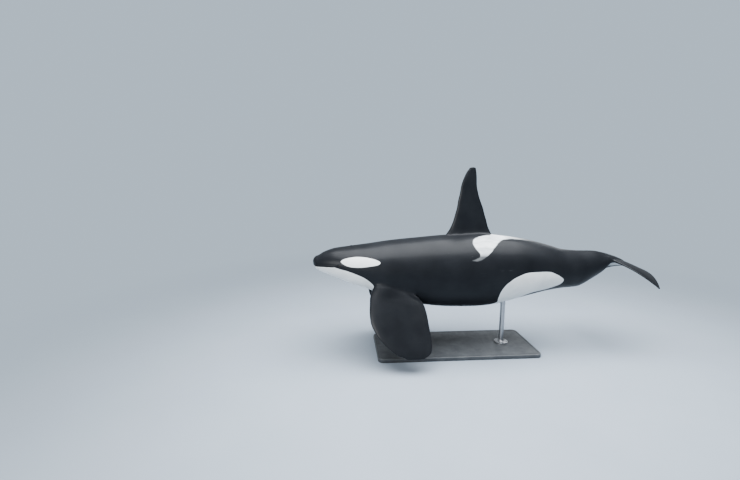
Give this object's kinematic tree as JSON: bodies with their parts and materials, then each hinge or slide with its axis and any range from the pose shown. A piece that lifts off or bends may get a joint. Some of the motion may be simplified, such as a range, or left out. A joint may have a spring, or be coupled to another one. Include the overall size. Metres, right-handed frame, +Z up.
{
  "type": "orca display model",
  "caption": "Life-size adult male orca, swimming level with hanging paddle flippers and drooped flukes, held by a flat base and short rods.",
  "frame": {"origin": "middle of the underside level, below the middle of the whole model's box", "axes": "+X runs from the snout to the tail, +Y to the animal's right side, +Z up"},
  "size_m": [6.2472, 2.0366, 3.4128],
  "materials": {
    "skin_black": "smooth wet black skin",
    "skin_white": "smooth wet white skin",
    "eye": "wet dark brown",
    "stand_base": "satin dark grey paint",
    "stand_rod": "brushed"
  },
  "bodies": {
    "root": {"head": "skin_black", "lower_jaw": "skin_white", "chest": "skin_black", "torso": "skin_black", "tail_stock": "skin_black", "fluke_left": "skin_black", "fluke_right": "skin_black", "dorsal_fin": "skin_black", "flipper_left": "skin_black", "flipper_right": "skin_black", "eye_left": "eye", "eye_right": "eye", "stand_base": "stand_base", "stand_rod_front": "stand_rod", "stand_rod_rear": "stand_rod"}
  },
  "joints": []
}
